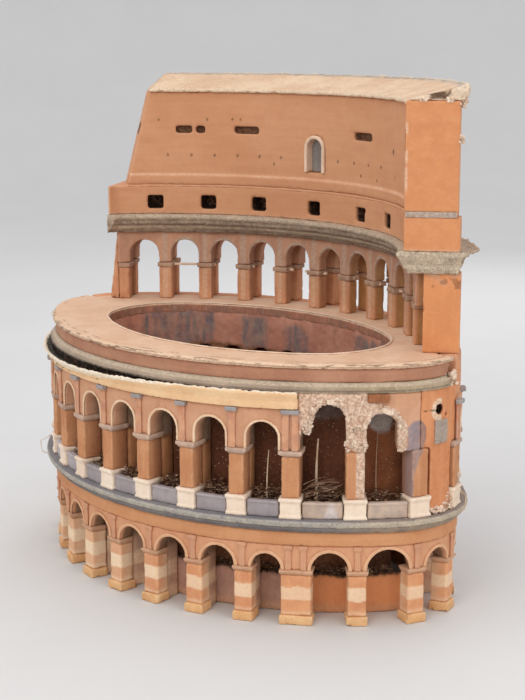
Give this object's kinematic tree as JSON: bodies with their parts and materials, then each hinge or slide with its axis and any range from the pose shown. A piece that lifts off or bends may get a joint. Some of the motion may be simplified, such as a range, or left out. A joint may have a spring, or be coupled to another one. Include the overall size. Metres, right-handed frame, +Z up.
{
  "type": "amphitheatre model",
  "caption": "Painted cement miniature of a ruined oval amphitheatre: low arcaded front, flat deck round an open arena, tall back wall cut off at one end.",
  "frame": {"origin": "centre of the oval plan, on the ground under the arena floor", "axes": "+X along the oval towards the cut end of the tall wall, +Y towards the tall wall, +Z up"},
  "size_m": [1.039, 0.688, 0.975],
  "materials": {
    "dark_cement": "matte",
    "cream_paint": "matte",
    "orange_paint": "matte",
    "grey_cement": "matte",
    "mauve_paint": "matte",
    "light_grey_paint": "matte",
    "white_paint": "matte",
    "buff_paint": "matte",
    "yellow_paint": "matte",
    "bare_masonry": "matte",
    "pink_paint": "matte",
    "stained_paint": "matte",
    "rough_cement": "matte",
    "tan_paint": "matte",
    "steel_dowel": "satin"
  },
  "bodies": {
    "root": {"arena_floor": "dark_cement", "ground_plinths": "cream_paint", "ground_piers": "orange_paint", "ground_radial_walls": "orange_paint", "ground_imposts": "grey_cement", "ground_arch_blocks": "orange_paint", "ground_archivolts": "cream_paint", "ground_pilasters": "orange_paint", "ground_back_wall": "mauve_paint", "gallery_floor": "dark_cement", "frieze_ring": "orange_paint", "ledge_bed_moulding": "grey_cement", "ledge_lip": "light_grey_paint", "pedestals": "white_paint", "parapet_panels": "light_grey_paint", "upper_piers": "orange_paint", "upper_radial_walls": "buff_paint", "upper_imposts": "grey_cement", "upper_arch_blocks": "orange_paint", "upper_archivolts": "cream_paint", "upper_pilasters": "orange_paint", "gallery_back_wall": "dark_cement", "entablature_core": "orange_paint", "yellow_cornice": "yellow_paint", "ruin_masonry": "bare_masonry", "ruin_lintel": "orange_paint", "drain_panel": "pink_paint", "plaster_patch": "grey_cement", "attic_base_moulding": "grey_cement", "attic_band_blocks": "pink_paint", "attic_coping": "cream_paint", "deck_slab": "cream_paint", "opening_rim": "cream_paint", "arena_wall": "stained_paint", "arena_arcade": "stained_paint", "third_piers": "orange_paint", "third_imposts": "grey_cement", "third_arch_blocks": "orange_paint", "third_link_bars": "grey_cement", "third_buttress": "orange_paint", "end_column": "orange_paint", "tall_cornice": "rough_cement", "attic_lower_course": "tan_paint", "mortar_bed": "grey_cement", "attic_upper_wall": "tan_paint", "niche_frame": "cream_paint", "niche_back": "grey_cement", "wall_coping": "cream_paint", "outer_pilasters": "tan_paint", "outer_corbels": "cream_paint", "dowels": "steel_dowel"}
  },
  "joints": []
}
